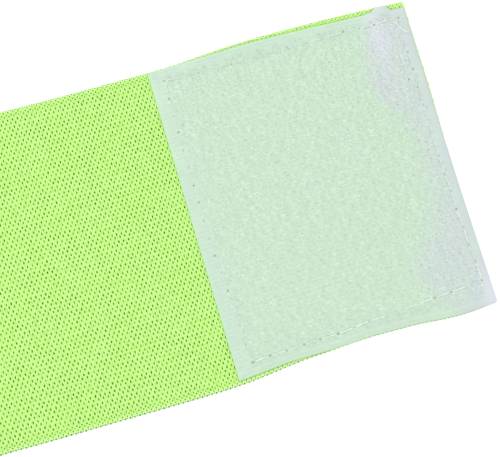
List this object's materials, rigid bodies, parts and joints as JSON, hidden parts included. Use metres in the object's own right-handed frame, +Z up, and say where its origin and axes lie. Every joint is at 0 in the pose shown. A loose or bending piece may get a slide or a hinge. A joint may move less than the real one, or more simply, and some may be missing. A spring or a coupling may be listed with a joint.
{
  "type": "sweat wristband",
  "caption": "Wide knitted elastic wristband, laid open, with a sewn-on hook pad at one end and a loop pad under the other; it wraps round the wrist.",
  "frame": {"origin": "on the surface that the open band lies on, under the middle of its length and width", "axes": "+X along the band towards the hook pad's end, +Y across the band, +Z up, out of the face worn against the skin"},
  "size_m": [0.236, 0.076, 0.0029],
  "materials": {
    "knit_elastic": "neon yellow-green knitted mesh elastic, matt",
    "rubber_thread": "bare extruded rubber thread",
    "hook_tape": "translucent white woven nylon tape",
    "hooks": "clear nylon monofilament hooks",
    "sewing_thread": "white polyester thread",
    "loop_tape": "white woven nylon tape",
    "loop_pile": "brushed white nylon loop pile"
  },
  "bodies": {
    "section_01": {"elastic_band_01": "knit_elastic", "loop_pad_stitches_01": "sewing_thread", "loop_pile_01": "loop_pile", "loop_tape_01": "loop_tape", "rubber_threads_01": "rubber_thread"},
    "section_02": {"elastic_band_02": "knit_elastic", "loop_pad_stitches_02": "sewing_thread", "loop_pile_02": "loop_pile", "loop_tape_02": "loop_tape", "rubber_threads_02": "rubber_thread"},
    "section_03": {"elastic_band_03": "knit_elastic", "loop_pad_stitches_03": "sewing_thread", "loop_pile_03": "loop_pile", "loop_tape_03": "loop_tape", "rubber_threads_03": "rubber_thread"},
    "section_04": {"elastic_band_04": "knit_elastic", "loop_pad_stitches_04": "sewing_thread", "loop_pile_04": "loop_pile", "loop_tape_04": "loop_tape", "rubber_threads_04": "rubber_thread"},
    "section_05": {"elastic_band_05": "knit_elastic", "rubber_threads_05": "rubber_thread"},
    "section_06": {"elastic_band_06": "knit_elastic", "rubber_threads_06": "rubber_thread"},
    "section_07": {"elastic_band_07": "knit_elastic", "rubber_threads_07": "rubber_thread"},
    "section_08": {"elastic_band_08": "knit_elastic", "rubber_threads_08": "rubber_thread"},
    "section_09": {"elastic_band_09": "knit_elastic", "rubber_threads_09": "rubber_thread"},
    "section_10": {"elastic_band_10": "knit_elastic", "rubber_threads_10": "rubber_thread"},
    "section_11": {"elastic_band_11": "knit_elastic", "rubber_threads_11": "rubber_thread"},
    "section_12": {"elastic_band_12": "knit_elastic", "rubber_threads_12": "rubber_thread"},
    "section_13": {"elastic_band_13": "knit_elastic", "hook_pad_stitches_13": "sewing_thread", "hook_tape_13": "hook_tape", "hooks_13": "hooks", "rubber_threads_13": "rubber_thread"},
    "section_14": {"elastic_band_14": "knit_elastic", "hook_pad_stitches_14": "sewing_thread", "hook_tape_14": "hook_tape", "hooks_14": "hooks", "rubber_threads_14": "rubber_thread"},
    "section_15": {"elastic_band_15": "knit_elastic", "hook_pad_stitches_15": "sewing_thread", "hook_tape_15": "hook_tape", "hooks_15": "hooks", "rubber_threads_15": "rubber_thread"},
    "section_16": {"elastic_band_16": "knit_elastic", "hook_pad_stitches_16": "sewing_thread", "hook_tape_16": "hook_tape", "hooks_16": "hooks", "rubber_threads_16": "rubber_thread"}
  },
  "joints": [
    {"name": "wrap_09_10", "type": "hinge", "parent": "section_09", "child": "section_10", "pos_m": [0.0075, 0, 0.0016], "axis": [0, -1, 0], "range_deg": [0, 30]},
    {"name": "wrap_10_11", "type": "hinge", "parent": "section_10", "child": "section_11", "pos_m": [0.02259, 0, 0.0016], "axis": [0, -1, 0], "range_deg": [0, 30]},
    {"name": "wrap_11_12", "type": "hinge", "parent": "section_11", "child": "section_12", "pos_m": [0.03791, 0, 0.0016], "axis": [0, -1, 0], "range_deg": [0, 30]},
    {"name": "wrap_12_13", "type": "hinge", "parent": "section_12", "child": "section_13", "pos_m": [0.05346, 0, 0.0016], "axis": [0, -1, 0], "range_deg": [0, 30]},
    {"name": "wrap_13_14", "type": "hinge", "parent": "section_13", "child": "section_14", "pos_m": [0.06924, 0, 0.0016], "axis": [0, -1, 0], "range_deg": [0, 30]},
    {"name": "wrap_14_15", "type": "hinge", "parent": "section_14", "child": "section_15", "pos_m": [0.08525, 0, 0.0016], "axis": [0, -1, 0], "range_deg": [0, 30]},
    {"name": "wrap_15_16", "type": "hinge", "parent": "section_15", "child": "section_16", "pos_m": [0.10149, 0, 0.0016], "axis": [0, -1, 0], "range_deg": [0, 30]},
    {"name": "wrap_08_09", "type": "hinge", "parent": "section_09", "child": "section_08", "pos_m": [-0.00736, 0, 0.0016], "axis": [0, 1, 0], "range_deg": [0, 30]},
    {"name": "wrap_07_08", "type": "hinge", "parent": "section_08", "child": "section_07", "pos_m": [-0.02199, 0, 0.0016], "axis": [0, 1, 0], "range_deg": [0, 30]},
    {"name": "wrap_06_07", "type": "hinge", "parent": "section_07", "child": "section_06", "pos_m": [-0.03639, 0, 0.0016], "axis": [0, 1, 0], "range_deg": [0, 30]},
    {"name": "wrap_05_06", "type": "hinge", "parent": "section_06", "child": "section_05", "pos_m": [-0.05056, 0, 0.0016], "axis": [0, 1, 0], "range_deg": [0, 30]},
    {"name": "wrap_04_05", "type": "hinge", "parent": "section_05", "child": "section_04", "pos_m": [-0.0645, 0, 0.0027], "axis": [0, 1, 0], "range_deg": [0, 30]},
    {"name": "wrap_03_04", "type": "hinge", "parent": "section_04", "child": "section_03", "pos_m": [-0.07821, 0, 0.0027], "axis": [0, 1, 0], "range_deg": [0, 30]},
    {"name": "wrap_02_03", "type": "hinge", "parent": "section_03", "child": "section_02", "pos_m": [-0.09169, 0, 0.0027], "axis": [0, 1, 0], "range_deg": [0, 30]},
    {"name": "wrap_01_02", "type": "hinge", "parent": "section_02", "child": "section_01", "pos_m": [-0.10494, 0, 0.0027], "axis": [0, 1, 0], "range_deg": [0, 30]}
  ],
  "couplings": [
    {"joint": "wrap_10_11", "follows": "wrap_09_10", "ratio": 1},
    {"joint": "wrap_11_12", "follows": "wrap_09_10", "ratio": 1},
    {"joint": "wrap_12_13", "follows": "wrap_09_10", "ratio": 1},
    {"joint": "wrap_13_14", "follows": "wrap_09_10", "ratio": 1},
    {"joint": "wrap_14_15", "follows": "wrap_09_10", "ratio": 1},
    {"joint": "wrap_15_16", "follows": "wrap_09_10", "ratio": 1},
    {"joint": "wrap_08_09", "follows": "wrap_09_10", "ratio": 1},
    {"joint": "wrap_07_08", "follows": "wrap_09_10", "ratio": 1},
    {"joint": "wrap_06_07", "follows": "wrap_09_10", "ratio": 1},
    {"joint": "wrap_05_06", "follows": "wrap_09_10", "ratio": 1},
    {"joint": "wrap_04_05", "follows": "wrap_09_10", "ratio": 1},
    {"joint": "wrap_03_04", "follows": "wrap_09_10", "ratio": 1},
    {"joint": "wrap_02_03", "follows": "wrap_09_10", "ratio": 1},
    {"joint": "wrap_01_02", "follows": "wrap_09_10", "ratio": 1}
  ]
}
